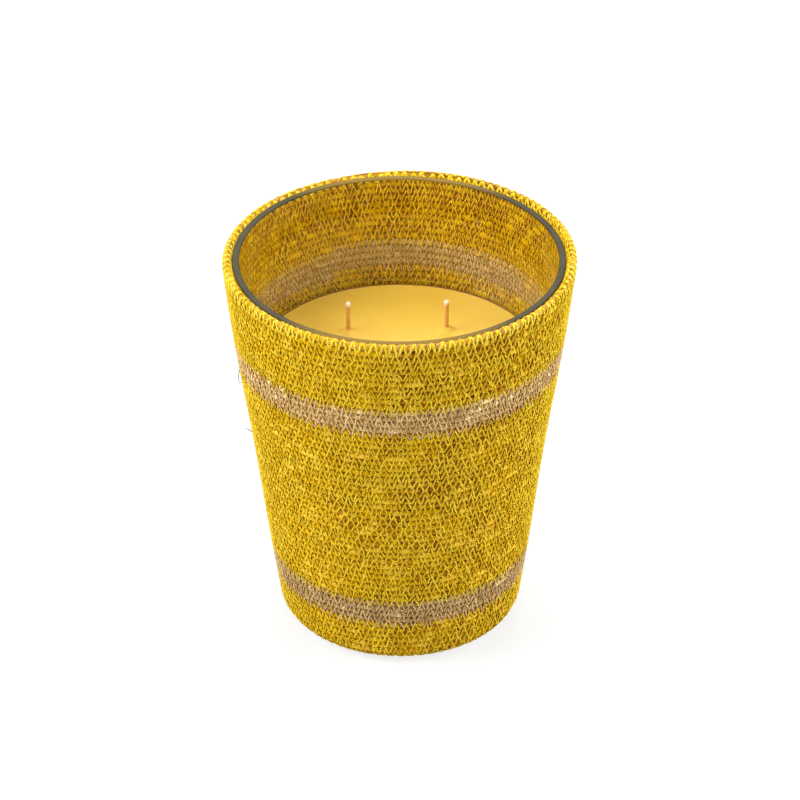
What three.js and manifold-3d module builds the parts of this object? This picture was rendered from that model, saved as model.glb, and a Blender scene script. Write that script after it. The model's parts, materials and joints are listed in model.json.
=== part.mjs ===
// A scented candle: wax with four wicks, poured into a clear glass tumbler that stands in a coiled basket.
// Millimetres, +Z up. The origin is the middle of the basket's underside, and -Y faces the viewer.

import * as THREE from 'three';
import { mergeVertices } from 'three/addons/utils/BufferGeometryUtils.js';
import Module from 'manifold-3d';

const wasm = await Module();
wasm.setup();

// The basket's outer shape
const basketHeight = 175;
const rimRadius = 75; // outside, where the wall's slope meets the rim's height
const footRadius = 52; // outside, where the wall's slope would meet the table
const footCornerRadius = 9; // outside, where the base turns up into the wall
const basketWall = 3.7; // through one turn of the cord, square to the wall

// The coil: one cord wound from the middle of the base to the rim, each turn sewn to the last
const turnPitch = 3.05; // from one turn to the next, along the wall
const turnRelief = 0.7; // depth of the valley between two turns
const startDiscRadius = 6.5; // the tight first turns, pressed flat
const coilStart = Math.PI / 2; // angle at which the coil starts and ends, at the back

// The sewing thread changes colour along the coil: a yellow basket with two natural bands
const turnsBelowLowerBand = 8;
const lowerBandTurns = 4;
const turnsAboveUpperBand = 11;
const upperBandTurns = 4;

// The glass tumbler
const jarClearance = 0.45; // to the basket's wall, square to it
const jarRimDrop = 1.5; // from the basket's rim down to the glass rim
const jarWall = 3.1;
const jarFloor = 8;
const jarHeelEase = 1.7; // how much rounder the glass heel is than the basket's inner corner
const bowlHeelRadius = 5; // inside the glass, round its floor
const puntDepth = 1.4; // the hollow under the glass
const standingRingWidth = 6; // round that hollow

// The wax
const waxDrop = 50; // from the glass rim down to the wax
const pourGap = 0.3; // between the wax and all that it is poured against
const creepHeight = 0.8; // how far the wax climbs the glass
const creepWidth = 3;

// The wicks, in a square round the axis
const wickNames = ['back_right', 'back_left', 'front_left', 'front_right'];
const wickRingRadius = 30.3;
const wickRingTurn = THREE.MathUtils.degToRad(2.1); // of the square, from its sides being parallel to X and Y
const wickRadius = 1;
const wickStand = 15.5; // above the wax
const bareTip = 2; // uncoated cotton at the top
const bareTipRadius = 0.75;

// The tin clip that holds each wick's foot, and the sticker that holds the clip to the glass
const clipRadius = 10;
const clipThickness = 0.5;
const clipNeckHeight = 6;
const clipNeckWall = 0.45;
const clipNeckFlare = 1.2;
const clipBoreGap = 0.3; // round the wick
const stickerRadius = 8.5;
const stickerThickness = 0.8;

// Facets
const basketSides = 28;
const wickSides = 8;
const clipSides = 12;
const heelSteps = 4;
const rimSteps = 6;
const cutMargin = 2; // how far a cutting tool runs past what it cuts

// The wall's slope, and its radius at a height and an inset square to the wall
const slope = Math.atan2(rimRadius - footRadius, basketHeight);
const wallRadius = (z, inset = 0) => footRadius + z * Math.tan(slope) - inset / Math.cos(slope);

// Heights that the pieces share
const jarSeat = basketWall;
const jarTop = basketHeight - jarRimDrop;
const waxFloor = jarSeat + jarFloor;
const waxTop = jarTop - waxDrop;
const clipSeat = waxFloor + stickerThickness;
const clipTop = clipSeat + clipThickness;
const neckTop = clipSeat + clipNeckHeight;
const wickTop = waxTop + wickStand;

// Insets of the glass and the wax from the basket's outer slope
const jarInset = basketWall + jarClearance;
const bowlInset = jarInset + jarWall;
const waxInset = bowlInset + pourGap;

// Radii that the wicks, clips and wax share
const clipBoreRadius = wickRadius + clipBoreGap;
const clipNeckRadius = clipBoreRadius + clipNeckWall;

// Heights where the basket's thread changes colour
const turnRise = turnPitch * Math.cos(slope);
const lowerBandFoot = turnsBelowLowerBand * turnRise;
const lowerBandTop = lowerBandFoot + lowerBandTurns * turnRise;
const upperBandTop = basketHeight - turnsAboveUpperBand * turnRise;
const upperBandFoot = upperBandTop - upperBandTurns * turnRise;

// Materials
const finish = (color, roughness, more = {}) => new THREE.MeshStandardMaterial({ color, roughness, ...more });
const yellowThread = finish('#b7921c', 0.85);
const naturalThread = finish('#b08e58', 0.85);
const clearGlass = finish('#dfe8e4', 0.05, { transparent: true, opacity: 0.3 });
const yellowWax = finish('#f1c548', 0.45);
const waxedCotton = finish('#c99a4a', 0.6);
const tin = finish('#b9bcc0', 0.35, { metalness: 1 });
const whiteFoam = finish('#ece9e0', 0.8);

const candle = new THREE.Group();

function addPiece(name, geometry, material) {
  const mesh = new THREE.Mesh(geometry, material);
  mesh.name = name;
  candle.add(mesh);
  return mesh;
}

// Profiles are lists of (radius, height) points that run round their section with the material on the left
const at = (radius, height) => new THREE.Vector2(radius, height);

function turned(profile, sides = basketSides) {
  return new THREE.LatheGeometry(profile, sides).rotateX(Math.PI / 2);
}

function arc(centre, radius, fromAngle, toAngle, steps) {
  const points = [];
  for (let i = 0; i <= steps; i++) {
    const angle = THREE.MathUtils.lerp(fromAngle, toAngle, i / steps);
    points.push(at(centre.x + radius * Math.cos(angle), centre.y + radius * Math.sin(angle)));
  }
  return points;
}

// How far a rounded heel reaches along the floor from where floor and slope would meet
const heelReach = (radius) => radius * Math.tan((Math.PI / 2 - slope) / 2);

// The round between a floor at height z and the slope at an inset, from the floor up
function heel(z, inset, radius) {
  const centre = at(wallRadius(z, inset) - heelReach(radius), z + radius);
  return arc(centre, radius, -Math.PI / 2, -slope, heelSteps);
}

// The full round on top of a wall, from its outside over to its inside
function roundedRim(top, inset, wall) {
  const radius = wall / 2;
  const centre = at(wallRadius(top - radius, inset + radius), top - radius);
  return arc(centre, radius, -slope, Math.PI - slope, rimSteps);
}

function toSolid(geometry) {
  const bare = geometry.clone();
  bare.deleteAttribute('normal');
  bare.deleteAttribute('uv');
  const merged = mergeVertices(bare, 1e-4);
  const corners = merged.index.array;
  const triangles = [];
  for (let i = 0; i < corners.length; i += 3) {
    const [a, b, c] = corners.slice(i, i + 3);
    if (a !== b && b !== c && c !== a) triangles.push(a, b, c);
  }
  const mesh = new wasm.Mesh({
    numProp: 3,
    vertProperties: new Float32Array(merged.attributes.position.array),
    triVerts: new Uint32Array(triangles),
  });
  return new wasm.Manifold(mesh);
}

function toGeometry(solid) {
  const mesh = solid.getMesh();
  const geometry = new THREE.BufferGeometry();
  geometry.setAttribute('position', new THREE.BufferAttribute(new Float32Array(mesh.vertProperties), 3));
  geometry.setIndex(new THREE.BufferAttribute(new Uint32Array(mesh.triVerts), 1));
  geometry.computeVertexNormals();
  return geometry;
}

// The coil. Its cord travels out along the base, round the corner and up the slope.
const baseRun = wallRadius(0) - heelReach(footCornerRadius);
const cornerRun = footCornerRadius * (Math.PI / 2 - slope);

// The point of the basket's outside at a travel from the middle of the base, sunk below the crests by a depth
function outsidePoint(travel, depth) {
  if (travel <= baseRun) return at(travel, depth);
  const turn = Math.min((travel - baseRun) / footCornerRadius, Math.PI / 2 - slope);
  const angle = turn - Math.PI / 2;
  const up = Math.max(travel - baseRun - cornerRun, 0);
  return at(
    baseRun + (footCornerRadius - depth) * Math.cos(angle) + up * Math.sin(slope),
    footCornerRadius + (footCornerRadius - depth) * Math.sin(angle) + up * Math.cos(slope),
  );
}

// A solid body of the basket's outer shape, whose surface is one spiral: crest and valley rows take turns,
// and the end of each turn is the start of the next. It runs past the rim, where the tools cut it.
function coiledBody() {
  const wallRun = basketHeight / Math.cos(slope) + cutMargin * turnPitch;
  const rows = 2 * Math.ceil((baseRun + cornerRun + wallRun) / turnPitch);
  const positions = [];
  const triangles = [];
  const addPoint = (radius, height, angle) => {
    positions.push(radius * Math.cos(angle), radius * Math.sin(angle), height);
    return positions.length / 3 - 1;
  };
  const corner = (row, column) => row * basketSides + column;
  const rowStart = 2; // the first whole turn ends one pitch out, and a flat cap closes what is inside it

  for (let row = 0; row < rows + 2; row++) {
    for (let column = 0; column < basketSides; column++) {
      const turns = (row + rowStart) / 2 + column / basketSides;
      const travel = turns * turnPitch;
      const inValley = row % 2 === 1 && travel > startDiscRadius;
      const point = outsidePoint(travel, inValley ? turnRelief : 0);
      addPoint(point.x, point.y, coilStart + (2 * Math.PI * column) / basketSides);
    }
  }

  const next = (row, column) => (column + 1 < basketSides ? corner(row, column + 1) : corner(row + 2, 0));
  for (let row = 0; row < rows - 1; row++) {
    for (let column = 0; column < basketSides; column++) {
      const a = corner(row, column);
      const b = next(row, column);
      const c = next(row + 1, column);
      const d = corner(row + 1, column);
      triangles.push(a, b, c, a, c, d);
    }
  }

  // The cap over the middle of the base, and the one that closes the top
  const capClosing = (centre, row, outward) => {
    for (let column = 0; column < basketSides; column++) {
      const [a, b] = [corner(row, column), next(row, column)];
      triangles.push(...(outward ? [centre, a, b] : [centre, b, a]));
    }
    for (const [a, b] of [[corner(row + 2, 0), corner(row + 1, 0)], [corner(row + 1, 0), corner(row, 0)]]) {
      triangles.push(...(outward ? [centre, a, b] : [centre, b, a]));
    }
  };
  const startCentre = addPoint(turnPitch / 4, 0, coilStart - Math.PI / 2);
  capClosing(startCentre, 0, false);
  const topHeight = outsidePoint(((rows + rowStart) / 2) * turnPitch, 0).y;
  const topCentre = addPoint(0, topHeight, 0);
  capClosing(topCentre, rows - 1, true);

  const geometry = new THREE.BufferGeometry();
  geometry.setAttribute('position', new THREE.Float32BufferAttribute(positions, 3));
  geometry.setIndex(triangles);
  return toSolid(geometry);
}

const coil = coiledBody();
const pastCoil = rimRadius + cutMargin * turnPitch;

// The walls are stretches of the coil between two heights
function addWall(name, foot, top, material) {
  const tool = turned([
    at(wallRadius(foot, basketWall), foot),
    at(pastCoil, foot),
    at(pastCoil, top),
    at(wallRadius(top, basketWall), top),
    at(wallRadius(foot, basketWall), foot),
  ]);
  addPiece(name, toGeometry(coil.intersect(toSolid(tool))), material);
}

// The base: flat inside, where the glass stands, with the corner and the first of the wall
function addBase(name, top, material) {
  const innerCorner = heel(jarSeat, basketWall, Math.max(footCornerRadius - basketWall, jarClearance));
  const tool = turned([
    at(0, -cutMargin),
    at(pastCoil, -cutMargin),
    at(pastCoil, top),
    at(wallRadius(top, basketWall), top),
    ...innerCorner.reverse(),
    at(0, jarSeat),
  ]);
  addPiece(name, toGeometry(coil.intersect(toSolid(tool))), material);
}

// The last turns, whose top is rounded where the thread wraps over the rim
function addRim(name, foot, material) {
  const overRim = roundedRim(basketHeight, 0, basketWall);
  const tool = turned([
    at(wallRadius(foot, basketWall), foot),
    at(pastCoil, foot),
    at(pastCoil, overRim[0].y),
    ...overRim,
    at(wallRadius(foot, basketWall), foot),
  ]);
  addPiece(name, toGeometry(coil.intersect(toSolid(tool))), material);
}

addBase('basket_base', footCornerRadius, yellowThread);
addWall('basket_wall_foot', footCornerRadius, lowerBandFoot, yellowThread);
addWall('basket_band_lower', lowerBandFoot, lowerBandTop, naturalThread);
addWall('basket_wall_middle', lowerBandTop, upperBandFoot, yellowThread);
addWall('basket_band_upper', upperBandFoot, upperBandTop, naturalThread);
addRim('basket_wall_rim', upperBandTop, yellowThread);

// The tumbler: a thick floor with a hollow under it, a sloping wall and a fire-polished rim
function jarProfile() {
  const heelRadius = footCornerRadius - basketWall + jarHeelEase;
  const outerHeel = heel(jarSeat, jarInset, heelRadius);
  const ringInside = outerHeel[0].x - standingRingWidth;
  return [
    at(0, jarSeat + puntDepth),
    at(ringInside - puntDepth, jarSeat + puntDepth),
    at(ringInside, jarSeat),
    ...outerHeel,
    ...roundedRim(jarTop, jarInset, jarWall),
    ...heel(waxFloor, bowlInset, bowlHeelRadius).reverse(),
    at(0, waxFloor),
  ];
}

addPiece('glass_jar', turned(jarProfile()), clearGlass);

const wickPlaces = wickNames.map((name, i) => {
  const angle = ((i + 0.5) * 2 * Math.PI) / wickNames.length + wickRingTurn;
  return { name, x: wickRingRadius * Math.cos(angle), y: wickRingRadius * Math.sin(angle) };
});

// What a wick and its clip take out of the wax
function wickCavity() {
  const clipBay = clipRadius + pourGap;
  const neckBay = clipNeckRadius + pourGap;
  const wickBay = wickRadius + pourGap;
  const shoulder = clipTop + pourGap;
  const neckShoulder = neckTop + pourGap;
  return turned([
    at(0, waxFloor - cutMargin),
    at(clipBay, waxFloor - cutMargin),
    at(clipBay, shoulder),
    at(neckBay + clipNeckFlare, shoulder),
    at(neckBay, shoulder + clipNeckFlare),
    at(neckBay, neckShoulder),
    at(wickBay, neckShoulder),
    at(wickBay, waxTop + cutMargin),
    at(0, waxTop + cutMargin),
  ], clipSides);
}

// The wax: it fills the glass to its level, and climbs the wall a little
function waxBody() {
  const creepTop = waxTop + creepHeight;
  let body = toSolid(turned([
    at(0, waxFloor),
    ...heel(waxFloor, waxInset, bowlHeelRadius),
    at(wallRadius(creepTop, waxInset), creepTop),
    at(wallRadius(waxTop, waxInset) - creepWidth / 2, waxTop + creepHeight / 4),
    at(wallRadius(waxTop, waxInset) - creepWidth, waxTop),
    at(0, waxTop),
  ]));
  for (const { x, y } of wickPlaces) {
    body = body.subtract(toSolid(wickCavity().translate(x, y, 0)));
  }
  return toGeometry(body);
}

addPiece('wax', waxBody(), yellowWax);

const wickProfile = [
  at(0, clipSeat),
  at(wickRadius, clipSeat),
  at(wickRadius, wickTop - bareTip),
  at(bareTipRadius, wickTop - bareTip * 0.75),
  at(bareTipRadius, wickTop),
  at(0, wickTop),
];

const clipProfile = [
  at(clipBoreRadius, clipSeat),
  at(clipRadius, clipSeat),
  at(clipRadius, clipTop),
  at(clipNeckRadius + clipNeckFlare, clipTop),
  at(clipNeckRadius, clipTop + clipNeckFlare),
  at(clipNeckRadius, neckTop),
  at(clipBoreRadius, neckTop),
  at(clipBoreRadius, clipSeat),
];

const stickerProfile = [
  at(0, waxFloor),
  at(stickerRadius, waxFloor),
  at(stickerRadius, clipSeat),
  at(0, clipSeat),
];

for (const { name, x, y } of wickPlaces) {
  addPiece(`wick_${name}`, turned(wickProfile, wickSides), waxedCotton).position.set(x, y, 0);
  addPiece(`wick_clip_${name}`, turned(clipProfile, clipSides), tin).position.set(x, y, 0);
  addPiece(`clip_sticker_${name}`, turned(stickerProfile, clipSides), whiteFoam).position.set(x, y, 0);
}

export default candle;
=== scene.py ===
import json
import math

import bpy
import numpy as np
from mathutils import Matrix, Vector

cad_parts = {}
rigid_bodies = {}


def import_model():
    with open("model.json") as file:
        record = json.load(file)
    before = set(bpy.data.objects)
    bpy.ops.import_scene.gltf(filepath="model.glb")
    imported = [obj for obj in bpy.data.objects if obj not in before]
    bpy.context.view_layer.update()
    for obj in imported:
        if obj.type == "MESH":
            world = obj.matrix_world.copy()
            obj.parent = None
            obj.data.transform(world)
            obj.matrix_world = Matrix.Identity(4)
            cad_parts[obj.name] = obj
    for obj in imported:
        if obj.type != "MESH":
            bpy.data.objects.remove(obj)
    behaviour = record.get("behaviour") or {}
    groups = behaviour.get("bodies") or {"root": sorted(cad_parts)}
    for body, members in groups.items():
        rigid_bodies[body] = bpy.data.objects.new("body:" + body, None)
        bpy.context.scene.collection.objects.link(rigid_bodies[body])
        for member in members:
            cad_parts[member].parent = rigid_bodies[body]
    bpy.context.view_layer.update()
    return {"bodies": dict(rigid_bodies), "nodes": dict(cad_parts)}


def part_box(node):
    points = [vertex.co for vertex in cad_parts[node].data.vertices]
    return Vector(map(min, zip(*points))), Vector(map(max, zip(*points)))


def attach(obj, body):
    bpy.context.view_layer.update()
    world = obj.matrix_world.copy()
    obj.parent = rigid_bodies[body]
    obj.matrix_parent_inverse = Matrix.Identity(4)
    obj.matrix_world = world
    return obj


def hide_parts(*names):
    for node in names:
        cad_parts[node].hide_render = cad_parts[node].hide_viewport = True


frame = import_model()
bpy.ops.object.select_all(action="DESELECT")


# Camera, lamps and table.
# The candle stands on a plain white table under broad, soft lamps. It is seen from the front,
# 32 degrees above the horizon, from 1.6 m away.
mm = 0.001
camera_tilt = math.radians(32.49)
camera_reach = 1600 * mm
camera_aim = (0.36 * mm, 0, 102.1 * mm)
sensor_width = 36
focal_share = 3709.5 / 800  # focal length as a share of the picture's width
table_size = 12000 * mm
table_drop = 0.15 * mm  # the basket's lowest threads rest on the table, and nothing touches exactly
room_light = 0.18  # strength of the plain white light that comes from all round
table_glow = 0.80  # share of the table that the camera sees as plain white, without its shadow


def srgb(red, green, blue):
    """A colour as it looks on a screen, 0 to 255, as the linear colour that a shader takes."""
    parts = [value / 255 for value in (red, green, blue)]
    linear = [p / 12.92 if p <= 0.04045 else ((p + 0.055) / 1.055) ** 2.4 for p in parts]
    return (*linear, 1)


def new_finish(name):
    """A material with its nodes, its links and the shader that it shows."""
    finish = bpy.data.materials.new(name)
    finish.use_nodes = True
    nodes = finish.node_tree.nodes
    return finish, nodes, finish.node_tree.links, nodes["Principled BSDF"]


def calculated(nodes, links, operation, *values):
    """The result of a sum on sockets and plain numbers."""
    node = nodes.new("ShaderNodeMath")
    node.operation = operation
    for place, value in zip(node.inputs, values):
        if isinstance(value, bpy.types.NodeSocket):
            links.new(value, place)
        else:
            place.default_value = value
    return node.outputs[0]


def ranged(nodes, links, value, start=(0, 1), end=(0, 1)):
    """A value carried over from one range to another, and kept inside it."""
    node = nodes.new("ShaderNodeMapRange")
    node.inputs["From Min"].default_value = start[0]
    node.inputs["From Max"].default_value = start[1]
    node.inputs["To Min"].default_value = end[0]
    node.inputs["To Max"].default_value = end[1]
    links.new(value, node.inputs["Value"])
    return node.outputs["Result"]


def seen_directly(nodes, links):
    """1 where the camera sees a surface straight, in a mirror or through glass, and 0 for its light."""
    path = nodes.new("ShaderNodeLightPath").outputs
    mirrored = calculated(nodes, links, "MAXIMUM", path["Is Camera Ray"], path["Is Glossy Ray"])
    return calculated(nodes, links, "MAXIMUM", mirrored, path["Is Transmission Ray"])


bpy.ops.object.camera_add(
    location=(
        camera_aim[0],
        -camera_reach * math.cos(camera_tilt),
        camera_aim[2] + camera_reach * math.sin(camera_tilt),
    ),
    rotation=(math.pi / 2 - camera_tilt, 0, 0),
)
camera = bpy.context.object
camera.data.sensor_width = sensor_width
camera.data.lens = sensor_width * focal_share
camera.data.clip_end = 30
bpy.context.scene.camera = camera
bpy.context.scene.view_settings.view_transform = "Standard"

lamps = {  # places and sizes in metres, powers in watts
    "lamp_over_left": dict(place=(-1.2, -0.3, 1.25), size=1.0, power=25.0),
    "lamp_left": dict(place=(-1.35, -0.35, 0.85), size=1.3, power=10.0),
    "lamp_over_right": dict(place=(1.0, -0.55, 1.3), size=1.1, power=10.0),
    "lamp_right": dict(place=(1.5, -0.1, 0.6), size=1.2, power=17.0),
    "lamp_behind": dict(place=(0.1, 1.2, 1.3), size=1.2, power=22.0),
    "lamp_on_top": dict(place=(0, 0, 1.8), size=1.2, power=8.0),
}
for lamp_name, lamp in lamps.items():
    bpy.ops.object.light_add(type="AREA", location=lamp["place"])
    light = bpy.context.object
    light.name = lamp_name
    light.data.shape = "DISK"
    light.data.size = lamp["size"]
    light.data.energy = lamp["power"]
    towards = light.location - frame["bodies"]["basket"].location
    light.rotation_euler = towards.to_track_quat("Z", "Y").to_euler()

world = bpy.data.worlds.new("white_room")
bpy.context.scene.world = world
world.use_nodes = True
room_nodes, room_links = world.node_tree.nodes, world.node_tree.links
seen = seen_directly(room_nodes, room_links)
room_level = ranged(room_nodes, room_links, seen, end=(room_light, 1))
room_links.new(room_level, room_nodes["Background"].inputs["Strength"])
room_nodes["Background"].inputs["Color"].default_value = (1, 1, 1, 1)

bpy.ops.mesh.primitive_plane_add(size=table_size, location=(0, 0, -table_drop))
table = bpy.context.object
table.name = "table"
table_finish, nodes, links, shader = new_finish("white_table")
shader.inputs["Base Color"].default_value = srgb(232, 232, 232)
shader.inputs["Roughness"].default_value = 0.7
shader.inputs["Specular IOR Level"].default_value = 0.1
glow = nodes.new("ShaderNodeEmission")
glow.inputs["Strength"].default_value = 1
mix = nodes.new("ShaderNodeMixShader")
share = calculated(nodes, links, "MULTIPLY", seen_directly(nodes, links), table_glow)
links.new(share, mix.inputs[0])
links.new(shader.outputs[0], mix.inputs[1])
links.new(glow.outputs[0], mix.inputs[2])
links.new(mix.outputs[0], nodes["Material Output"].inputs["Surface"])
table.data.materials.append(table_finish)


# Coiled cord of the basket.
# One twisted plant-fibre cord, about 3 mm thick and 26 m long, is wound from the middle of the
# base outwards, round the foot and up to the rim, where its end thins out on the turn below. The
# last turn isn't dyed.
basket_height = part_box("basket_wall_rim")[1].z
rim_radius = 75 * mm
foot_radius = 52 * mm
foot_corner = 9 * mm
basket_wall = 3.7 * mm
turn_pitch = 3.05 * mm
cord_across = 1.36 * mm  # half the cord's thickness through the wall
cord_along = 1.78 * mm  # and along it, where turns press on each other
cord_step = 2.0 * mm
cord_sides = 8
cord_lay = 9 * mm  # length in which the fibres twist once round
cord_wander = 0.16 * mm  # how far a turn strays up and down the wall
first_turn = 0.32  # the cord starts this far from the middle, in turns
coil_end = math.radians(116)  # the cord ends at the back, a little left of the middle
turns_over_upper_band = 11
turns_in_band = 4
turns_between_bands = 31
end_taper = 150 * mm  # length over which the cord thins out at its end
end_sink = 0.55  # share of a turn's pitch by which the thin end sinks towards the turn below
knot_gap = 2.8 * mm
knot_swell = 0.29  # how much thicker the cord is at a knot, as a share of its thickness
knot_inward = 0.05  # and how far a knot sits towards the inside
warp_lobes = 0.2 * mm  # how far hand work bulges the wall to some sides
warp_waist = 0.4 * mm  # how far it narrows and widens up the wall
waist_gap = 108 * mm  # from one narrow place up to the next
waist_below_rim = 40 * mm  # from the rim down to a wide place
foot_swell = 0.8 * mm  # how far the foot leans out to the front right
warp_up = 0.30 * mm  # how far the rim rises and falls
rim_drop = 1.5 * mm  # from the rim down to the middle of the last turn

slope = math.atan2(rim_radius - foot_radius, basket_height)
heart = basket_wall / 2  # the middle of the wall, where the cord's centre runs
corner_bend = foot_corner - heart
base_run = foot_radius - foot_corner * math.tan((math.pi / 2 - slope) / 2)
corner_run = corner_bend * (math.pi / 2 - slope)
wall_start_height = foot_corner - corner_bend * math.sin(slope)
rim_line = basket_height - rim_drop
rim_travel = base_run + corner_run + (rim_line - wall_start_height) / math.cos(slope)
last_turn = rim_travel / turn_pitch + 0.5
upper_band_end = last_turn - turns_over_upper_band
upper_band_start = upper_band_end - turns_in_band
lower_band_end = upper_band_start - turns_between_bands
lower_band_start = lower_band_end - turns_in_band
base_end = base_run / turn_pitch
undyed_start = last_turn - 1.1


def wall_point(travel, out):
    """Radius and height of a point of the basket's wall.

    Travel runs along the wall from the middle of the base to the rim, and out is how far the
    point stands proud of the cord's centre line, towards the outside.
    """
    bend = np.clip((travel - base_run) / corner_bend, 0, math.pi / 2 - slope)
    on_base = np.minimum(travel, base_run)
    on_wall = np.maximum(travel - base_run - corner_run, 0)
    radius = on_base + (corner_bend + out) * np.sin(bend) + on_wall * math.sin(slope)
    height = foot_corner - (corner_bend + out) * np.cos(bend) + on_wall * math.cos(slope)
    return radius, height


def wall_facing(travel):
    """Radius and height parts of the wall's outward direction."""
    bend = np.clip((travel - base_run) / corner_bend, 0, math.pi / 2 - slope)
    return np.sin(bend), -np.cos(bend)


def drift(along, wavelength, seed):
    """A smooth random swing between -1 and 1 along a cord, alike in each run."""
    knots = np.random.default_rng(seed).uniform(-1, 1, int(along.max() / wavelength) + 3)
    place = along / wavelength
    knot = place.astype(int)
    ease = (place - knot) ** 2 * (3 - 2 * (place - knot))
    return knots[knot] * (1 - ease) + knots[knot + 1] * ease


def coil_angle(turn):
    """The angle round the basket at which the coil is after so many turns."""
    return coil_end + 2 * math.pi * (turn - last_turn)


def hand_warp(turn, above=0):
    """How far hand work pushes each place of the wall outwards and up.

    The place is on the coil's turn, or that share of a turn's pitch above it.
    """
    angle = coil_angle(turn)
    turn = turn + above
    climb = np.clip(turn / last_turn, 0, 1)
    on_wall = np.clip(turn - base_end, 0, 6) / 6
    lobes = 0.6 * np.sin(2 * angle + 1.1 + 3 * climb) + 0.4 * np.sin(3 * angle - 5 * climb)
    rise = (last_turn - turn) * turn_pitch
    waist = 0.6 + np.cos(2 * math.pi * (rise - waist_below_rim) / waist_gap)
    near_foot = 12 * (1 - climb) ** 4 * climb  # nearly 1 at a fifth of the way up
    swell = foot_swell * (0.15 + 0.85 * np.cos(angle + 0.7)) * near_foot
    push_out = (warp_lobes * (1 + lobes) + warp_waist * waist) * on_wall * climb + swell
    return push_out, warp_up * np.sin(angle * 2 - 0.6) * climb**3


def around(turn, radius, height):
    """Points in the frame from a turn count, a radius and a height."""
    angle = coil_angle(turn)
    return np.stack([radius * np.cos(angle), radius * np.sin(angle), height], axis=-1)


def tube_piece(name, centres, outwards, sideways, sides, lengths, lay):
    """Closed tubes through the centres, one for each strand.

    Centres, outwards and sideways are (strands, rings, 3) and lengths is (strands, rings). The
    map runs along a tube and round it with the twist.
    """
    strands, rings = lengths.shape
    turn = ((np.arange(sides) / sides - 0.25) * 2 * math.pi)[:, None]
    points = centres[:, :, None] + outwards[:, :, None] * np.cos(turn)
    points = points + sideways[:, :, None] * np.sin(turn)
    corner = np.arange(strands * rings * sides).reshape(strands, rings, sides)
    after = np.roll(corner, -1, axis=2)
    near, far = slice(None, -1), slice(1, None)
    faces = np.stack([corner[:, near], after[:, near], after[:, far], corner[:, far]], axis=-1)
    caps = np.concatenate([corner[:, 0, ::-1], corner[:, -1]])
    loops = np.concatenate([faces.ravel(), caps.ravel()])
    walls = faces.size // 4
    starts = np.append(np.arange(walls) * 4, walls * 4 + np.arange(2 * strands) * sides)
    mesh = bpy.data.meshes.new(name)
    mesh.vertices.add(corner.size)
    mesh.vertices.foreach_set("co", points.astype(np.float32).ravel())
    mesh.loops.add(len(loops))
    mesh.loops.foreach_set("vertex_index", loops.astype(np.int32))
    mesh.polygons.add(len(starts))
    mesh.polygons.foreach_set("loop_start", starts.astype(np.int32))
    mesh.update(calc_edges=True)
    mesh.validate()
    side = np.arange(sides)
    start, end = lengths[:, near, None, None], lengths[:, far, None, None]
    run = np.concatenate([start, start, end, end], axis=-1) + np.zeros((sides, 1))
    spin = np.stack([side, side + 1, side + 1, side], axis=-1) / sides + run / lay
    spots = np.zeros((len(loops), 2), np.float32)
    spots[: run.size] = np.stack([run.ravel(), spin.ravel()], axis=-1)
    mesh.uv_layers.new(name="lay").uv.foreach_set("vector", spots.ravel())
    mesh.shade_smooth()
    piece = bpy.data.objects.new(name, mesh)
    bpy.context.scene.collection.objects.link(piece)
    return piece


def add_field(piece, name, ring_values, side_values):
    """Writes a ring's value times a side's value as an attribute that the finish reads."""
    marks = piece.data.attributes.new(name, "FLOAT", "POINT")
    values = np.multiply.outer(ring_values.ravel(), side_values)
    marks.data.foreach_set("value", values.astype(np.float32).ravel())


def end_thinning(run):
    """The share of its thickness that the cord has left so far along, little at its very end."""
    return np.clip((coil_length[-1] - run) / end_taper, 0.03, 1) ** 0.8


def noise(nodes, links, vector, scale, detail, roughness=0.5, flat=False):
    """Noise between 0 and 1 at the places of a vector, in two dimensions where it is flat."""
    grain = nodes.new("ShaderNodeTexNoise")
    grain.noise_dimensions = "2D" if flat else "3D"
    grain.inputs["Scale"].default_value = scale
    grain.inputs["Detail"].default_value = detail
    grain.inputs["Roughness"].default_value = roughness
    links.new(vector, grain.inputs["Vector"])
    return grain.outputs["Fac"]


def stretched(nodes, links, vector, scale):
    """A vector with each of its parts times its own scale."""
    stretch = nodes.new("ShaderNodeMapping")
    stretch.inputs["Scale"].default_value = scale
    links.new(vector, stretch.inputs["Vector"])
    return stretch.outputs[0]


def lay_map(nodes, links, scale):
    """The map that tube_piece made along a tube and round it, scaled each way."""
    spots = nodes.new("ShaderNodeUVMap")
    spots.uv_map = "lay"
    return stretched(nodes, links, spots.outputs[0], scale)


def field(nodes, name):
    """The values that add_field wrote."""
    values = nodes.new("ShaderNodeAttribute")
    values.attribute_name = name
    return values.outputs["Fac"]


def along_axis(nodes, links, place, axis):
    """How far a place lies along X, Y or Z."""
    parts = nodes.new("ShaderNodeSeparateXYZ")
    links.new(place, parts.inputs[0])
    return parts.outputs[axis]


def tinted(nodes, links, amount, *stops):
    """The colour at an amount from 0 to 1, out of (amount, colour) stops in their order."""
    tint = nodes.new("ShaderNodeValToRGB")
    first, last = tint.color_ramp.elements
    first.position, first.color = stops[0]
    last.position, last.color = stops[-1]
    for position, colour in stops[1:-1]:
        tint.color_ramp.elements.new(position).color = colour
    links.new(amount, tint.inputs["Fac"])
    return tint.outputs["Color"]


def painted(nodes, links, colour, amount, paint, blend="MIX"):
    """A colour under so much of a paint."""
    over = nodes.new("ShaderNodeMix")
    over.data_type = "RGBA"
    over.blend_type = blend
    links.new(amount, over.inputs["Factor"])
    links.new(colour, over.inputs["A"])
    over.inputs["B"].default_value = paint
    return over.outputs["Result"]


def add_relief(nodes, links, shader, height, depth, strength, invert=False):
    """Gives a surface a fine relief so deep."""
    relief = nodes.new("ShaderNodeBump")
    relief.invert = invert
    relief.inputs["Strength"].default_value = strength
    relief.inputs["Distance"].default_value = depth
    links.new(height, relief.inputs["Height"])
    links.new(relief.outputs[0], shader.inputs["Normal"])


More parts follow.
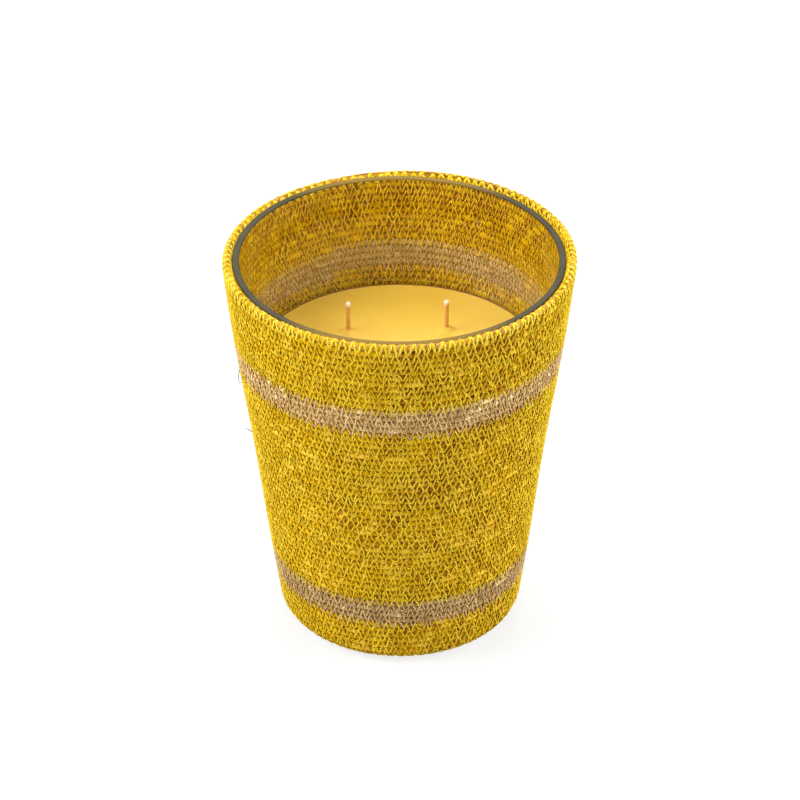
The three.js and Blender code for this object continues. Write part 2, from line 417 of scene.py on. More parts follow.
def fibre_finish(name, shades, cream, gold, gold_share):
    """Dull twisted plant fibre: streaks that follow the twist, dyed patches, and knots that are
    paler outside and dyed inside.

    The dye shows in patches, and more gold on the left of the outside is painted light from the left
    lamp.
    """
    finish, nodes, links, shader = new_finish(name)
    streaks = noise(nodes, links, lay_map(nodes, links, (420, 8, 1)), 1, 2, flat=True)
    place = nodes.new("ShaderNodeTexCoord").outputs["Object"]
    patches = noise(nodes, links, place, 75, 4, 0.65)
    right = along_axis(nodes, links, place, "X")
    # Painted light: more gold towards the left of the outside, where the lamp on the left falls.
    painted_left_light = ranged(nodes, links, right, (10 * mm, -60 * mm), (0, 0.24))
    dye_and_left_light_level = calculated(nodes, links, "MULTIPLY_ADD", painted_left_light, field(nodes, "outside"), patches)
    dye_and_left_light = ranged(nodes, links, dye_and_left_light_level, (0.42, 0.64), (0, gold_share))
    colour = tinted(nodes, links, streaks, (0.3, shades[0]), (0.5, shades[1]), (0.72, shades[2]))
    colour = painted(nodes, links, colour, dye_and_left_light, gold)
    colour = painted(nodes, links, colour, field(nodes, "knot"), cream)
    colour = painted(nodes, links, colour, field(nodes, "dyed_knot"), gold)
    links.new(colour, shader.inputs["Base Color"])
    add_relief(nodes, links, shader, streaks, 0.25 * mm, 0.8)
    shader.inputs["Roughness"].default_value = 0.85
    shader.inputs["Specular IOR Level"].default_value = 0.05
    return finish


coil_turn = np.arange(first_turn, last_turn, 0.0005)
coil_radius, coil_height = wall_point(coil_turn * turn_pitch, 0)
coil_points = around(coil_turn, coil_radius, coil_height)
coil_steps = np.linalg.norm(np.diff(coil_points, axis=0), axis=1)
coil_length = np.append(0, np.cumsum(coil_steps))

run = np.arange(0, coil_length[-1], cord_step)
turn = np.interp(run, coil_length, coil_turn)
travel = turn * turn_pitch + cord_wander * drift(run, 12 * mm, 17)
thinning = np.minimum(end_thinning(run), np.clip(run / (6 * mm), 0.3, 1))
push_out, push_up = hand_warp(turn)
sink = (1 - thinning) * turn_pitch * end_sink
radius, height = wall_point(travel - sink, 0)
radius = radius + push_out
height = height + push_up
facing_out, facing_up = wall_facing(travel)
centres = around(turn, radius, height)
lumps = 1 + 0.05 * drift(run, 7 * mm, 11) + 0.035 * drift(run, 3.1 * mm, 12)
in_band = (turn > lower_band_start) & (turn < lower_band_end)
in_band |= (turn > upper_band_start) & (turn < upper_band_end)
evenness = np.where(in_band, 2.7, 2.0)  # the undyed cord of the bands has fewer knots
evenness = np.where(in_band & (turn >= upper_band_end - 1.5), 2.1, evenness)
knots = np.clip(drift(run, knot_gap, 13) * 4 - evenness, 0, 1)
top_turn = np.clip(turn - last_turn + 1.05, 0, 0.1)  # the last turn is drawn a little thinner
across = cord_across * thinning * lumps * (1 + knot_swell * knots) * (1 - top_turn)
along = cord_along * thinning * (1 + 0.03 * drift(run, 5 * mm, 16)) * (1 - top_turn * 1.5)
outward = around(turn, facing_out, facing_up)
centres = centres - outward * knots[:, None] * cord_across * knot_inward
down_wall = around(turn, facing_up, -facing_out)

# Of each cord: its dark, middle and pale fibres, its knots, its dye, and how much of the dye and of the
# painted light on the left it shows.
yellow_cord = fibre_finish(
    "straw_brown_cord",
    (srgb(98, 54, 0), srgb(160, 104, 16), srgb(202, 148, 48)),
    srgb(228, 184, 56),
    srgb(214, 168, 0),
    0.85,
)
upper_band_cord = fibre_finish(
    "pale_grey_cord",
    (srgb(142, 108, 60), srgb(190, 153, 94), srgb(220, 184, 125)),
    srgb(242, 220, 170),
    srgb(204, 160, 64),
    0.3,
)
rim_cord = fibre_finish(
    "undyed_rim_cord",
    (srgb(132, 84, 28), srgb(182, 132, 62), srgb(208, 162, 88)),
    srgb(216, 172, 96),
    srgb(206, 158, 20),
    0.6,
)
lower_band_cord = fibre_finish(
    "darker_grey_cord",
    (srgb(122, 93, 51), srgb(165, 132, 80), srgb(190, 159, 108)),
    srgb(228, 204, 150),
    srgb(180, 140, 56),
    0.3,
)
cords = {
    "cord_base": ("basket_base", first_turn, base_end, "yellow_thread", yellow_cord),
    "cord_foot": ("basket_wall_foot", base_end, lower_band_start, "yellow_thread", yellow_cord),
    "cord_lower_band": (
        "basket_band_lower", lower_band_start, lower_band_end, "natural_thread", lower_band_cord
    ),
    "cord_middle": (
        "basket_wall_middle", lower_band_end, upper_band_start, "yellow_thread", yellow_cord
    ),
    "cord_upper_band": (
        "basket_band_upper", upper_band_start, upper_band_end, "natural_thread", upper_band_cord
    ),
    "cord_rim": ("basket_wall_rim", upper_band_end, undyed_start, "yellow_thread", yellow_cord),
    "cord_last_turn": ("basket_wall_rim", undyed_start, last_turn + 1, "yellow_thread", rim_cord),
}
outside = np.clip(np.sin(np.arange(cord_sides) / cord_sides * 2 * math.pi) + 0.5, 0, 1)
for cord_name, (node, start, end, cord_slot, cord_finish) in cords.items():
    part = np.flatnonzero((turn >= start) & (turn < end))
    part = np.append(part, min(part[-1] + 1, len(turn) - 1))
    cord = tube_piece(
        cord_name,
        centres[None, part],
        outward[None, part] * across[part, None],
        down_wall[None, part] * along[part, None],
        cord_sides,
        run[None, part],
        cord_lay,
    )
    add_field(cord, "knot", knots[part], outside)
    add_field(cord, "dyed_knot", knots[part], 1 - outside)
    add_field(cord, "outside", np.ones(len(part)), outside)
    cord.data.materials.append(cord_finish)
    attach(cord, "basket")
    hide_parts(node)


# Sewing threads.
# A zigzag machine sews each turn to the last. The top thread shows outside and the bobbin thread
# inside, and both meet in the cord where the needle went. Yellow twine, more golden inside, and
# undyed in the two bands, a shade darker in the lower one.
stitch_length = 4.0 * mm
stitch_reach = 2.95 * mm  # how far a stitch reaches to each side of the groove between two turns
stitch_spread = (-0.28, 0.2)  # how much less or more than that a stitch may reach, as a share
thread_width = 0.41 * mm  # half the width of the twine, which is pressed flat
bobbin_width = 0.35 * mm  # and of the thread inside
thread_height = 0.28 * mm
thread_sides = 4
thread_lay = 5 * mm
thread_lift = 0.21 * mm  # every thread lies so much higher than that, on top of the lumps
stitch_sway = 0.9 * mm  # how far the feed of the cord shifts the stitches in the long run
stitch_shift = 0.65 * mm  # and from one to the next
stitch_jitter = 0.07 * mm  # and each point of a stitch
leg_points = np.array([0, 0.16, 0.38, 0.62, 0.84])  # where a leg has its points, from 0 to 1
leg_heights = np.array([0.64, 1.35, 1.24, 1.24, 1.35]) * mm  # and how proud it stands there
middle_split = lower_band_end + 15  # the long middle is two pieces, so that neither is too big


def thread_piece(name, centres, facing, width, height, sides=thread_sides):
    """Flat threads through (strands, rings, 3) centres, on a surface that faces so."""
    ahead = np.gradient(centres, axis=1)
    ahead /= np.linalg.norm(ahead, axis=2, keepdims=True)
    sideways = np.cross(ahead, facing)
    sideways /= np.linalg.norm(sideways, axis=2, keepdims=True)
    outwards = np.cross(sideways, ahead)
    lengths = np.linalg.norm(np.diff(centres, axis=1, prepend=centres[:, :1]), axis=2)
    lengths = np.cumsum(lengths, axis=1)
    return tube_piece(
        name, centres, outwards * height, sideways * width, sides, lengths, thread_lay
    )


def thread_finish(name, shades):
    """Dull twine of two plies, with painted shade in the groove between them and slow changes of tone.
    """
    finish, nodes, links, shader = new_finish(name)
    plies = nodes.new("ShaderNodeTexWave")
    plies.bands_direction = "Y"
    plies.inputs["Scale"].default_value = 0.314  # one band for each unit of the map
    links.new(lay_map(nodes, links, (0, 2, 1)), plies.inputs["Vector"])
    groove_and_painted_shade = ranged(nodes, links, plies.outputs["Fac"], (0.45, 1))
    place = nodes.new("ShaderNodeTexCoord").outputs["Object"]
    patches = noise(nodes, links, place, 160, 5, 0.75)
    colour = tinted(nodes, links, patches, (0.38, shades[0]), (0.62, shades[1]))
    # Painted shade: the colour is darkened in the groove between the plies.
    colour = painted(nodes, links, colour, groove_and_painted_shade, (0.55, 0.47, 0.3, 1), "MULTIPLY")
    links.new(colour, shader.inputs["Base Color"])
    add_relief(nodes, links, shader, groove_and_painted_shade, 0.1 * mm, 0.5, invert=True)
    shader.inputs["Roughness"].default_value = 0.7
    shader.inputs["Specular IOR Level"].default_value = 0.1
    shader.inputs["Specular Tint"].default_value = shades[1]
    shader.inputs["Sheen Weight"].default_value = 0.2
    shader.inputs["Sheen Roughness"].default_value = 0.4
    shader.inputs["Sheen Tint"].default_value = srgb(255, 240, 170)
    return finish


yellow_thread = thread_finish("yellow_twine", (srgb(208, 168, 0), srgb(236, 210, 50)))
golden_thread = thread_finish("golden_bobbin_twine", (srgb(220, 168, 0), srgb(255, 218, 34)))
upper_band_thread = thread_finish("undyed_twine", (srgb(189, 152, 96), srgb(231, 199, 145)))
lower_band_thread = thread_finish("darker_undyed_twine", (srgb(181, 146, 96), srgb(220, 190, 142)))

sewn_length = coil_length[-1] - 4 * math.pi * rim_radius  # loops sew down the last turn instead
legs = int(sewn_length / (stitch_length / 2))
leg = np.arange(legs)
leg_start = leg * stitch_length / 2
leg_start = leg_start + stitch_sway * drift(leg_start, 60 * mm, 21)
leg_start = leg_start + stitch_shift * drift(leg_start, stitch_length / 2, 22)
seeds = np.random.default_rng(23)
leg_reach = stitch_reach * (1 + seeds.uniform(*stitch_spread, legs)) * np.where(leg % 2, 1, -1)
share = leg_points[None, :]
stitch_run = (leg_start[:-1, None] * (1 - share) + leg_start[1:, None] * share).ravel()
stitch_side = (leg_reach[:-1, None] * (1 - share) + leg_reach[1:, None] * share).ravel()
stitch_run = stitch_run + stitch_jitter * seeds.uniform(-1, 1, len(stitch_run))
stitch_lift = np.tile(leg_heights, legs - 1) + thread_lift
stitch_turn = np.interp(stitch_run, coil_length, coil_turn)
next_cord = end_thinning(np.interp(stitch_turn + 1, coil_turn, coil_length))
stitch_side = np.where(stitch_side > 0, stitch_side * next_cord, stitch_side)
stitch_travel = (stitch_turn + 0.5) * turn_pitch + stitch_side
thread_zones = {  # a seam lies over its turn, so each kind of thread starts one turn lower
    "foot": (first_turn, lower_band_start - 1, "yellow_thread", yellow_thread),
    "lower_band": (
        lower_band_start - 1, lower_band_end - 1, "natural_thread", lower_band_thread
    ),
    "middle_low": (lower_band_end - 1, middle_split, "yellow_thread", yellow_thread),
    "middle_high": (middle_split, upper_band_start - 1, "yellow_thread", yellow_thread),
    "upper_band": (
        upper_band_start - 1, upper_band_end - 1, "natural_thread", upper_band_thread
    ),
    "rim": (upper_band_end - 1, last_turn, "yellow_thread", yellow_thread),
}
for side_name, side, width in (("outer", 1, thread_width), ("inner", -1, bobbin_width)):
    radius, height = wall_point(stitch_travel, stitch_lift * side)
    push_out, push_up = hand_warp(stitch_turn, 0.5)
    stitch_points = around(stitch_turn, radius + push_out, height + push_up)
    facing_out, facing_up = wall_facing(stitch_travel)
    stitch_facing = around(stitch_turn, facing_out * side, facing_up * side)
    for zone, (start, end, zone_slot, zone_finish) in thread_zones.items():
        part = np.flatnonzero((stitch_turn >= start) & (stitch_turn < end))
        thread = thread_piece(
            f"thread_{side_name}_{zone}",
            stitch_points[None, part],
            stitch_facing[None, part],
            width,
            thread_height,
        )
        if side == -1 and zone_finish == yellow_thread:
            zone_finish = golden_thread
        thread.data.materials.append(zone_finish)
        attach(thread, "basket")


# Overcast stitches of the rim.
# The last turn is sewn down with loops of the same yellow twine. Their legs spread below the turn
# and meet over its top, with a second row from the inside.
whip_pitch = 4.0 * mm
whip_low = 4.0 * mm  # how far below the last turn's middle the loops start outside
whip_low_inside = 2.7 * mm
whip_wrap = math.radians(124)  # how far round the cord they go from there
whip_wrap_inside = math.radians(50)
whip_lap = 0.975  # how much of the way round the rim the loops go
whip_dip = 0.9 * mm  # how deep their feet go into the cord
whip_points = 15
rim_thread_width = 0.56 * mm  # half the twine's width at the front, where it is pulled tightest
rim_thread_spread = 0.4  # how much more that is everywhere else, where the loops are slack
rim_thread_height = 0.30 * mm
# Painted sheen: the loops' twine is painted paler than the same twine elsewhere.
rim_thread = thread_finish("yellow_twine_painted_sheen", (srgb(222, 186, 12), srgb(246, 222, 70)))


def whip_row(name, low, wrap, side, seed, shift):
    """One row of loops over the last turn, from outside (side 1) or from inside (side -1).

    A leg starts low beside the turn, runs straight up to it and bends over its top. Where the
    loops are slack they stand off a little, and they sink with the cord's thin end.
    """
    bend_out = cord_across * 0.9 + 0.12 * mm  # from the cord's middle to a loop at its side
    bend_up = cord_along * 0.85 - 0.02 * mm  # and to one over its top
    bend = (bend_out + bend_up) / 2
    whole = low + bend * wrap
    lap_end = coil_length[-1] - whip_pitch
    lap_start = lap_end - 2 * math.pi * rim_radius * whip_lap
    mixed = np.random.default_rng(seed)
    places = [lap_start + shift]
    while places[-1] < lap_end - whip_pitch:
        places.append(places[-1] + whip_pitch * (1 + mixed.uniform(-0.12, 0.12)))
    place = np.array(places)
    reach = whole * (1 + mixed.uniform(-0.12, 0.05, len(place)))
    roundness = mixed.uniform(0.95, 1.5, (len(place), 1))
    share = np.arange(whip_points) / whip_points
    climb = 1 - np.abs(2 * share - 1) ** roundness
    step = np.diff(place)[:, None]
    lean = mixed.uniform(0.0, 0.3, (len(step), 1))
    along = (place[:-1, None] + step * (share + lean * climb[:-1])).ravel()
    up = (reach[:-1, None] * climb[:-1]).ravel()
    turn = np.interp(along, coil_length, coil_turn)
    slack = np.clip(1.6 + 1.6 * np.sin(coil_angle(turn)), 0, 1)  # 0 only in front
    bend_out = bend_out + 0.08 * mm * slack
    bend_up = bend_up + 0.14 * mm * slack
    thinning = end_thinning(along)
    end_top = cord_along * (thinning - 1) - (1 - thinning) * turn_pitch * end_sink
    sink = -np.maximum(end_top, -turn_pitch)
    coming_back = np.clip(np.tile(share, len(step)) * 5 - 3, 0, 1)
    snug = 1 - 0.05 * coming_back  # the second leg of a loop is pulled closer
    straight = np.minimum(up - low, 0)
    wrapped = np.maximum(up - low, 0) / (bend * snug)
    travel = turn * turn_pitch - sink + straight + bend_up * snug * np.sin(wrapped)
    dip = np.clip(-straight / low, 0, 1) ** 6 * whip_dip
    out = side * (bend_out * snug * np.cos(wrapped) - dip)
    radius, height = wall_point(travel, out)
    push_out, push_up = hand_warp(turn)
    points = around(turn, radius + push_out, height + push_up)
    facing_out = side * np.cos(wrapped) * math.cos(slope) + np.sin(wrapped) * math.sin(slope)
    facing_up = -side * np.cos(wrapped) * math.sin(slope) + np.sin(wrapped) * math.cos(slope)
    facing = around(turn, facing_out, facing_up)
    width = rim_thread_width * (1 + rim_thread_spread * slack)[None, :, None]
    whip = thread_piece(name, points[None], facing[None], width, rim_thread_height)
    whip.data.materials.append(rim_thread)
    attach(whip, "basket")


whip_row("whipping_outer", whip_low, whip_wrap, 1, 31, 0)
whip_row("whipping_inner", whip_low_inside, whip_wrap_inside, -1, 32, whip_pitch / 2)


# Loose fibres.
# Short ends of plant fibre and fluff of the twine stand off the cord all over the basket, most of
# them under 3 mm long. On the left a thicker loop hangs out below the band, and a short dark end
# stands off farther down.
fluff_count = 3200
fluff_radius = 0.045 * mm
fluff_length = 1.7 * mm
fluff_inside = 0.14  # share of the fluff that stands off the inside
inside_start = 50  # and the turn above which it does, as the wax hides what is lower
root_depth = 0.35 * mm
stray_count = 22
stray_radius = 0.14 * mm
stray_length = 2.6 * mm
hanging_radius = 0.24 * mm
strand_points = 5
strand_sides = 3


def strand_lines(turns, sides, length, seed):
    """Centres of curved strands that start on the wall at the given turns, outside or inside."""
    mixed = np.random.default_rng(seed)
    count = len(turns)
    travel = (turns + mixed.uniform(0, 1, count)) * turn_pitch
    travel = np.minimum(travel, rim_travel + turn_pitch * 0.4)
    radius_at, height_at = wall_point(travel, sides * (heart - root_depth))
    push_out, push_up = hand_warp(turns)
    roots = around(turns, radius_at + push_out, height_at + push_up)
    facing_out, facing_up = wall_facing(travel)
    facing = around(turns, facing_out * sides, facing_up * sides)
    aim = mixed.normal(size=(count, 3))  # each its own way, but never into the wall
    aim += facing * 0.9
    aim /= np.linalg.norm(aim, axis=1, keepdims=True)
    aim += facing * np.maximum(0.15 - (aim * facing).sum(axis=1, keepdims=True), 0)
    curl = mixed.normal(size=(count, 3)) * 0.6
    reach = length * mixed.uniform(0.4, 1.3, (count, 1))
    share = np.linspace(0, 1, strand_points)[None, :, None]
    lines = roots[:, None] + reach[:, None] * (aim[:, None] * share + curl[:, None] * share**2 / 2)
    lines[:, :, 2] = np.maximum(lines[:, :, 2], fluff_radius)  # none of them goes into the table
    return lines


def strand_piece(name, lines, radius):
    """Thin strands along the lines, each finer towards its end."""
    thin = radius * (1 - 0.5 * np.linspace(0, 1, strand_points)[None, :, None])
    aside = np.array([0.3, 0.5, 0.81])  # any direction does, as the strands are round
    return thread_piece(name, lines, aside, thin, thin, strand_sides)


mixed = np.random.default_rng(41)
fluff_turns = mixed.uniform(base_end, last_turn - 0.3, fluff_count)
within = (mixed.uniform(size=fluff_count) < fluff_inside) & (fluff_turns > inside_start)
fluff_sides = np.where(within, -1, 1)
fluff_finish = thread_finish("twine_fluff", (srgb(222, 184, 20), srgb(252, 230, 90)))
fluff = strand_piece("fluff", strand_lines(fluff_turns, fluff_sides, fluff_length, 42), fluff_radius)
stray_turns = mixed.uniform(lower_band_start, last_turn - 1, stray_count)
stray_lines = strand_lines(stray_turns, 1, stray_length, 43)
hanging = np.array([
    [[122.8, -0.3], [120.6, 0.7], [117.6, 1.5], [114.6, 1.8], [114.4, 0.2]],
    [[90.4, -0.4], [90.9, 0.4], [91.4, 1.0], [92.0, 1.6], [92.6, 2.3]],
]) * mm  # height above the table, and how far off the wall
hang_angle = np.radians([[184.8], [186.5]])
hang_radius = foot_radius + hanging[:, :, 0] * math.tan(slope) + hanging[:, :, 1]
hang_points = [hang_radius * np.cos(hang_angle), hang_radius * np.sin(hang_angle), hanging[:, :, 0]]
strays = strand_piece("stray_fibres", stray_lines, stray_radius)
hangers = strand_piece("hanging_fibres", np.stack(hang_points, axis=-1), hanging_radius)
stray_finish = thread_finish("dry_fibre", (srgb(92, 78, 30), srgb(132, 122, 56)))
loose = ((fluff, fluff_finish), (strays, stray_finish), (hangers, stray_finish))
for piece, piece_finish in loose:
    piece.data.materials.append(piece_finish)
    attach(piece, "basket")


# Glass tumbler.
# Clear pressed glass, 3.1 mm thick with an 8 mm floor and a ground, eased rim. It stands loose
# in the basket on a narrow ring round a shallow hollow.
glass_low, glass_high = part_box("glass_jar")
glass_clear = 0.45 * mm  # between the basket's wall and the glass
glass_wall = 3.1 * mm
glass_floor = 8 * mm
glass_heel = foot_corner - basket_wall + 1.7 * mm
bowl_heel = 5 * mm
hollow_depth = 1.4 * mm
standing_ring = 6 * mm
lip_round = 0.6 * mm
edge_ring = 0.4 * mm  # from a round edge to the first ring of the straight wall
wall_ring = 8 * mm  # and to the next
glass_steps = 144
heel_steps = 10
lip_steps = 6


def inset_radius(height, inset):
    """Radius of a cone that lies inside the basket's outer wall, the inset measured squarely."""
    return foot_radius + height * math.tan(slope) - inset / math.cos(slope)


def arc_points(middle, radius, start, end, steps):
    """Points of an arc in the cut through a turned piece, angles measured from outwards to up."""
    angles = [start + (end - start) * step / steps for step in range(steps + 1)]
    return [(middle[0] + radius * math.cos(a), middle[1] + radius * math.sin(a)) for a in angles]


def heel_arc(floor, inset, radius, steps):
    """The round corner between a level floor and the sloping wall."""
    middle_height = floor + radius
    middle = (inset_radius(middle_height, inset) - radius / math.cos(slope), middle_height)
    return arc_points(middle, radius, -math.pi / 2, -slope, steps)


def turned_piece(name, outline, steps):
    """Draws an outline of (radius, height) points from axis to axis and spins it into a solid."""
    bpy.ops.object.select_all(action="DESELECT")
    bpy.ops.mesh.primitive_plane_add(size=mm)
    piece = bpy.context.object
    piece.name = name
    piece.data.name = name
    bpy.ops.object.mode_set(mode="EDIT")
    bpy.ops.mesh.merge(type="CENTER")
    bpy.ops.transform.translate(value=(outline[0][0], 0, outline[0][1]))
    for last, point in zip(outline, outline[1:]):
        step = (point[0] - last[0], 0, point[1] - last[1])
        bpy.ops.mesh.extrude_region_move(TRANSFORM_OT_translate={"value": step})
    bpy.ops.mesh.select_all(action="SELECT")
    bpy.ops.mesh.spin(steps=steps, angle=2 * math.pi, center=(0, 0, 0), axis=(0, 0, 1))
    bpy.ops.mesh.select_all(action="SELECT")
    bpy.ops.mesh.remove_doubles(threshold=0.001 * mm)
    bpy.ops.mesh.normals_make_consistent(inside=False)
    bpy.ops.object.mode_set(mode="OBJECT")
    bpy.ops.object.shade_smooth_by_angle(angle=math.radians(40))
    return piece


glass_inset = basket_wall + glass_clear
bowl_inset = glass_inset + glass_wall
bowl_low = glass_low.z + glass_floor
lip_height = glass_high.z - lip_round
lip_outer = (inset_radius(lip_height, glass_inset + lip_round), lip_height)
lip_inner = (inset_radius(lip_height, bowl_inset - lip_round), lip_height)
outer_heel = heel_arc(glass_low.z, glass_inset, glass_heel, heel_steps)
hollow_edge = outer_heel[0][0] - standing_ring
wall_foot = bowl_low + bowl_heel
wall_rings = [wall_foot + edge_ring]
wall_rings += list(np.linspace(wall_foot + wall_ring, lip_height - wall_ring, 7))
wall_rings += [lip_height - edge_ring]
glass_outline = (
    [(0, glass_low.z + hollow_depth), (hollow_edge * 0.5, glass_low.z + hollow_depth)]
    + [(hollow_edge * 0.93, glass_low.z + hollow_depth * 0.9), (hollow_edge, glass_low.z)]
    + outer_heel
    + [(inset_radius(height, glass_inset), height) for height in wall_rings]
    + arc_points(lip_outer, lip_round, -slope, math.pi / 2, lip_steps)
    + arc_points(lip_inner, lip_round, math.pi / 2, math.pi - slope, lip_steps)
    + [(inset_radius(height, bowl_inset), height) for height in wall_rings[::-1]]
    + heel_arc(bowl_low, bowl_inset, bowl_heel, heel_steps)[::-1]
    + [(0, bowl_low)]
)
tumbler = turned_piece("tumbler", glass_outline, glass_steps)
clear_glass, nodes, links, shader = new_finish("clear_pressed_glass")
shader.inputs["Base Color"].default_value = srgb(240, 244, 240)
shader.inputs["IOR"].default_value = 1.5
shader.inputs["Transmission Weight"].default_value = 1
ripple = noise(nodes, links, nodes.new("ShaderNodeTexCoord").outputs["Object"], 24, 1)
links.new(ranged(nodes, links, ripple, end=(0, 0.03)), shader.inputs["Roughness"])
add_relief(nodes, links, shader, ripple, 0.4 * mm, 0.15)
tumbler.data.materials.append(clear_glass)
lip_glass, nodes, links, shader = new_finish("ground_glass_lip")
place = nodes.new("ShaderNodeTexCoord").outputs["Object"]
grinding = noise(nodes, links, place, 90, 2)
colour = tinted(nodes, links, grinding, (0.3, srgb(60, 56, 38)), (0.7, srgb(69, 64, 46)))
# Painted refraction: in front and at the back the lip is painted the colour of the rim's cord, which
# real glass would show through it.
depth = calculated(nodes, links, "ABSOLUTE", along_axis(nodes, links, place, "Y"))
painted_see_through = ranged(nodes, links, depth, (50 * mm, 66 * mm))
colour = painted(nodes, links, colour, painted_see_through, srgb(124, 99, 40))
links.new(colour, shader.inputs["Base Color"])
shader.inputs["Roughness"].default_value = 0.3
shader.inputs["Specular IOR Level"].default_value = 0.02
tumbler.data.materials.append(lip_glass)
for face in tumbler.data.polygons:
    face.material_index = int(face.center.z > lip_height)
# The wax and the basket inside get the light that real glass lets through to them.
tumbler.visible_shadow = False
tumbler.visible_diffuse = False
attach(tumbler, "candle")
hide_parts("glass_jar")


# Wax.
# Yellow candle wax, poured warm into the glass round the wicks. It set flat, crept a little up the
# glass and has small mounds round the wicks. Where it crept up it is painted brown, as painted
# shade of the narrow gap at the glass.
wax_low, wax_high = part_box("wax")
wax_clear = 0.06 * mm  # between the glass and the wax
wax_steps = 240
creep_height = 0.8 * mm  # how far the wax crept up the glass
creep_width = 3 * mm
wax_level = wax_high.z - creep_height
wax_inset = bowl_inset + wax_clear
wax_edge = inset_radius(wax_high.z, wax_inset)
wick_leans = {  # how far each wick leans from its foot to its tip, in mm
    "wick_back_left": (0.2, 1.0),
    "wick_back_right": (-0.2, 1.0),
    "wick_front_left": (-0.4, 0.3),
    "wick_front_right": (0.3, -0.5),
}
lean_at_wax = 0.88  # share of it where the wick comes out of the wax
low_mound = 0.5 * mm
high_mounds = {"wick_back_left": 1.2 * mm, "wick_back_right": 1.7 * mm}
mound_top = 1.3 * mm  # radius of a mound's top, round its wick
mound_side = 3.4 * mm  # and how far its side runs out from there
wick_places = {}
for name in wick_leans:
    low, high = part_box(name)
    wick_places[name] = ((low.x + high.x) / 2, (low.y + high.y) / 2)
wick_ring = math.hypot(*wick_places["wick_back_left"])
creep = [
    (wax_edge - creep_width * share, wax_level + creep_height * (1 - share) ** 16)
    for share in (0, 0.03, 0.06, 0.1, 0.15, 0.25, 0.5, 1)
]
rings = [radius * mm for radius in (54, 49, 44, 40)]
rings += [wick_ring + offset * mm for offset in np.arange(7, -7.1, -0.7)]
rings += [radius * mm for radius in (20, 16, 11, 6, 2.5)]
wax_outline = (
    [(0, wax_low.z + wax_clear)]
    + heel_arc(wax_low.z + wax_clear, wax_inset, bowl_heel - wax_clear, heel_steps)
    + creep
    + [(radius, wax_level) for radius in rings]
    + [(0, wax_level)]
)
wax = turned_piece("poured_wax", wax_outline, wax_steps)
bpy.ops.object.mode_set(mode="EDIT")
for name, (x, y) in wick_places.items():
    lean_x, lean_y = [part * lean_at_wax * mm for part in wick_leans[name]]
    bpy.ops.mesh.select_all(action="DESELECT")
    bpy.ops.object.mode_set(mode="OBJECT")
    for vertex in wax.data.vertices:
        near = math.hypot(vertex.co.x - x - lean_x, vertex.co.y - y - lean_y) < mound_top
        vertex.select = near and vertex.co.z > wax_level - mm
    bpy.ops.object.mode_set(mode="EDIT")
    bpy.ops.transform.translate(
        value=(0, 0, high_mounds.get(name, low_mound)),
        use_proportional_edit=True,
        use_proportional_connected=True,
        proportional_edit_falloff="SMOOTH",
        proportional_size=mound_side,
    )
bpy.ops.object.mode_set(mode="OBJECT")
yellow_wax, nodes, links, shader = new_finish("yellow_candle_wax")
place = nodes.new("ShaderNodeTexCoord").outputs["Object"]
clouds = noise(nodes, links, place, 22, 3)
colour = tinted(nodes, links, clouds, (0.25, srgb(207, 168, 50)), (0.75, srgb(215, 181, 64)))
# Painted shade of the gap at the glass: brown above the level of the wax, and only out by the glass.
crept_up = (wax_level + 0.1 * mm, wax_level + 0.35 * mm)
painted_gap_shade = ranged(nodes, links, along_axis(nodes, links, place, "Z"), crept_up)
reach = nodes.new("ShaderNodeVectorMath")
reach.operation = "LENGTH"
links.new(place, reach.inputs[0])
creep_reach = math.hypot(wax_edge - creep_width, wax_level)
by_wall = calculated(nodes, links, "GREATER_THAN", reach.outputs["Value"], creep_reach)
painted_gap_shade = calculated(nodes, links, "MULTIPLY", painted_gap_shade, by_wall)
colour = painted(nodes, links, colour, painted_gap_shade, srgb(122, 76, 12))
links.new(colour, shader.inputs["Base Color"])
shader.inputs["Roughness"].default_value = 0.42
shader.inputs["Specular IOR Level"].default_value = 0.35
shader.inputs["Subsurface Weight"].default_value = 0.25
shader.inputs["Subsurface Radius"].default_value = (1.0, 0.6, 0.2)
shader.inputs["Subsurface Scale"].default_value = 3 * mm
add_relief(nodes, links, shader, noise(nodes, links, place, 320, 2), 0.15 * mm, 0.2)
wax.data.materials.append(yellow_wax)
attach(wax, "candle")
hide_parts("wax")


# Wicks.
# Four braided cotton wicks, each dipped in wax up to 2 mm below its tip, where the bare cotton
# frays. Each stands in its tin clip on the glass floor.
wick_radius = 1.0 * mm
wick_sides = 12
wick_step = 0.5 * mm
wick_lay = 4 * mm
bare_tip = 2.0 * mm
frayed_tip = 0.8 * mm  # the part of it that is all loose strands
strand_count = 7
strand_rings = 6
strand_width = 0.16 * mm  # half a strand's thickness
strand_out = 0.45 * mm  # from the wick's middle to where a strand starts

waxed_cotton, nodes, links, shader = new_finish("waxed_cotton_braid")
braid = noise(nodes, links, lay_map(nodes, links, (900, 3, 1)), 1, 2, flat=True)
colour = tinted(nodes, links, braid, (0.3, srgb(198, 146, 70)), (0.7, srgb(232, 188, 112)))
colour = painted(nodes, links, colour, field(nodes, "bare"), srgb(238, 214, 198))
links.new(colour, shader.inputs["Base Color"])
add_relief(nodes, links, shader, braid, 0.2 * mm, 0.6)
shader.inputs["Roughness"].default_value = 0.5

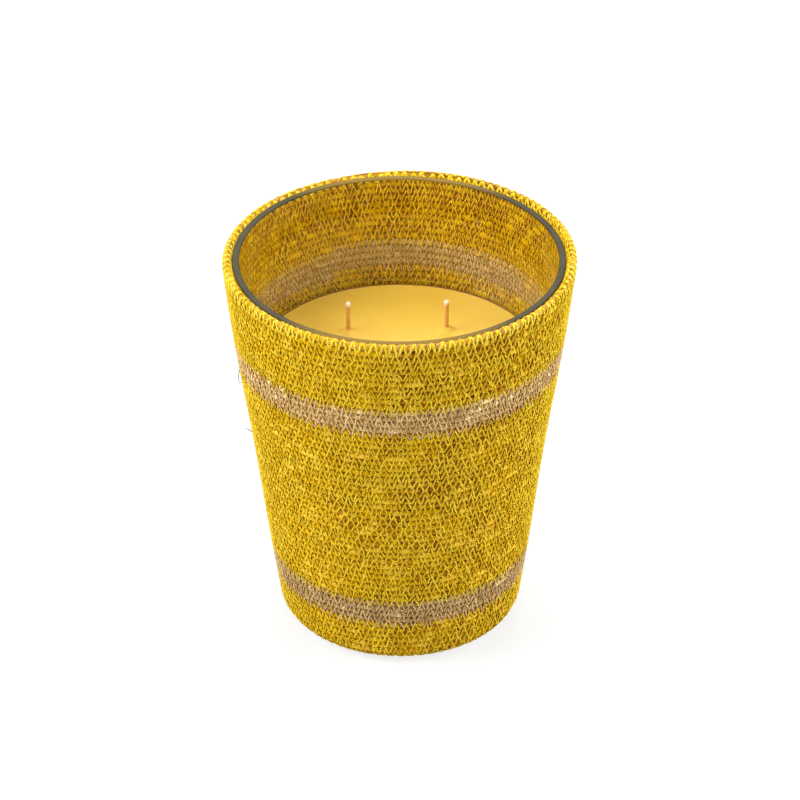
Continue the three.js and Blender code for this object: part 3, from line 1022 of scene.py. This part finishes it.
for number, name in enumerate(wick_leans):
    low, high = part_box(name)
    x, y = wick_places[name]
    mixed = np.random.default_rng(60 + number)
    heights = np.arange(low.z, high.z - frayed_tip, wick_step)
    lean = [part * mm * (heights - low.z) / (high.z - low.z) for part in wick_leans[name]]
    bare_share = np.clip((heights - heights[-1] + bare_tip) / (0.4 * mm), 0, 1)
    thick = wick_radius * (1 + 0.05 * drift(heights, 1.7 * mm, 70 + number))
    thick = thick * (1 + 0.08 * bare_share)
    thick = thick * np.clip((heights[-1] - heights) / (0.5 * mm), 0.75, 1)
    centres = np.stack([x + lean[0], y + lean[1], heights], axis=-1)
    out = np.zeros_like(centres)
    out[:, 0] = thick
    side = np.zeros_like(centres)
    side[:, 1] = thick
    wick = tube_piece(
        name.replace("wick", "braid"),
        centres[None],
        out[None],
        side[None],
        wick_sides,
        heights[None],
        wick_lay,
    )
    add_field(wick, "bare", bare_share, np.ones(wick_sides))
    parts = [wick]
    share = np.linspace(0, 1, strand_rings)[:, None]
    for strand in range(strand_count):
        bearing = 2 * math.pi * (strand + mixed.uniform(-0.3, 0.3)) / strand_count
        splay = np.array([math.cos(bearing), math.sin(bearing), 0])
        foot = centres[-4] + splay * strand_out
        rise = np.array([0, 0, mixed.uniform(1.2, 1.9) * mm])
        line = foot + rise * share + splay * share**2 * mixed.uniform(0.1, 0.6) * mm
        hair = thread_piece(
            f"{name}_strand_{strand}", line[None], splay, strand_width, strand_width
        )
        add_field(hair, "bare", np.ones(strand_rings), np.ones(thread_sides))
        parts.append(hair)
    bpy.ops.object.select_all(action="DESELECT")
    for part in parts:
        part.select_set(True)
    bpy.context.view_layer.objects.active = wick
    bpy.ops.object.join()
    wick.data.materials.append(waxed_cotton)
    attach(wick, "candle")
    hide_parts(name)


# Wick clips.
# Each is pressed from tinned sheet, a disc with a neck that is crimped round the wick.
tin, nodes, links, shader = new_finish("tinned_sheet")
place = nodes.new("ShaderNodeTexCoord").outputs["Object"]
scratches = noise(nodes, links, stretched(nodes, links, place, (60, 900, 60)), 1, 3)
colour = tinted(nodes, links, scratches, (0, srgb(150, 152, 156)), (1, srgb(206, 208, 212)))
links.new(colour, shader.inputs["Base Color"])
links.new(ranged(nodes, links, scratches, end=(0.28, 0.5)), shader.inputs["Roughness"])
shader.inputs["Metallic"].default_value = 1
for name, node in frame["nodes"].items():
    if name.startswith("wick_clip_"):
        node.data.materials.clear()
        node.data.materials.append(tin)


# Clip stickers.
# Round pads of white foam with glue on both faces, which hold the clips to the glass floor.
foam, nodes, links, shader = new_finish("white_foam_pad")
cells = nodes.new("ShaderNodeTexVoronoi")
cells.inputs["Scale"].default_value = 2400
links.new(nodes.new("ShaderNodeTexCoord").outputs["Object"], cells.inputs["Vector"])
bubbles = cells.outputs["Distance"]
colour = tinted(nodes, links, bubbles, (0, srgb(214, 212, 204)), (1, srgb(238, 236, 230)))
links.new(colour, shader.inputs["Base Color"])
shader.inputs["Roughness"].default_value = 0.9
add_relief(nodes, links, shader, bubbles, 0.1 * mm, 0.4)
for name, node in frame["nodes"].items():
    if name.startswith("clip_sticker_"):
        node.data.materials.clear()
        node.data.materials.append(foam)


# The scene is brought up to date at the end.
bpy.context.view_layer.update()
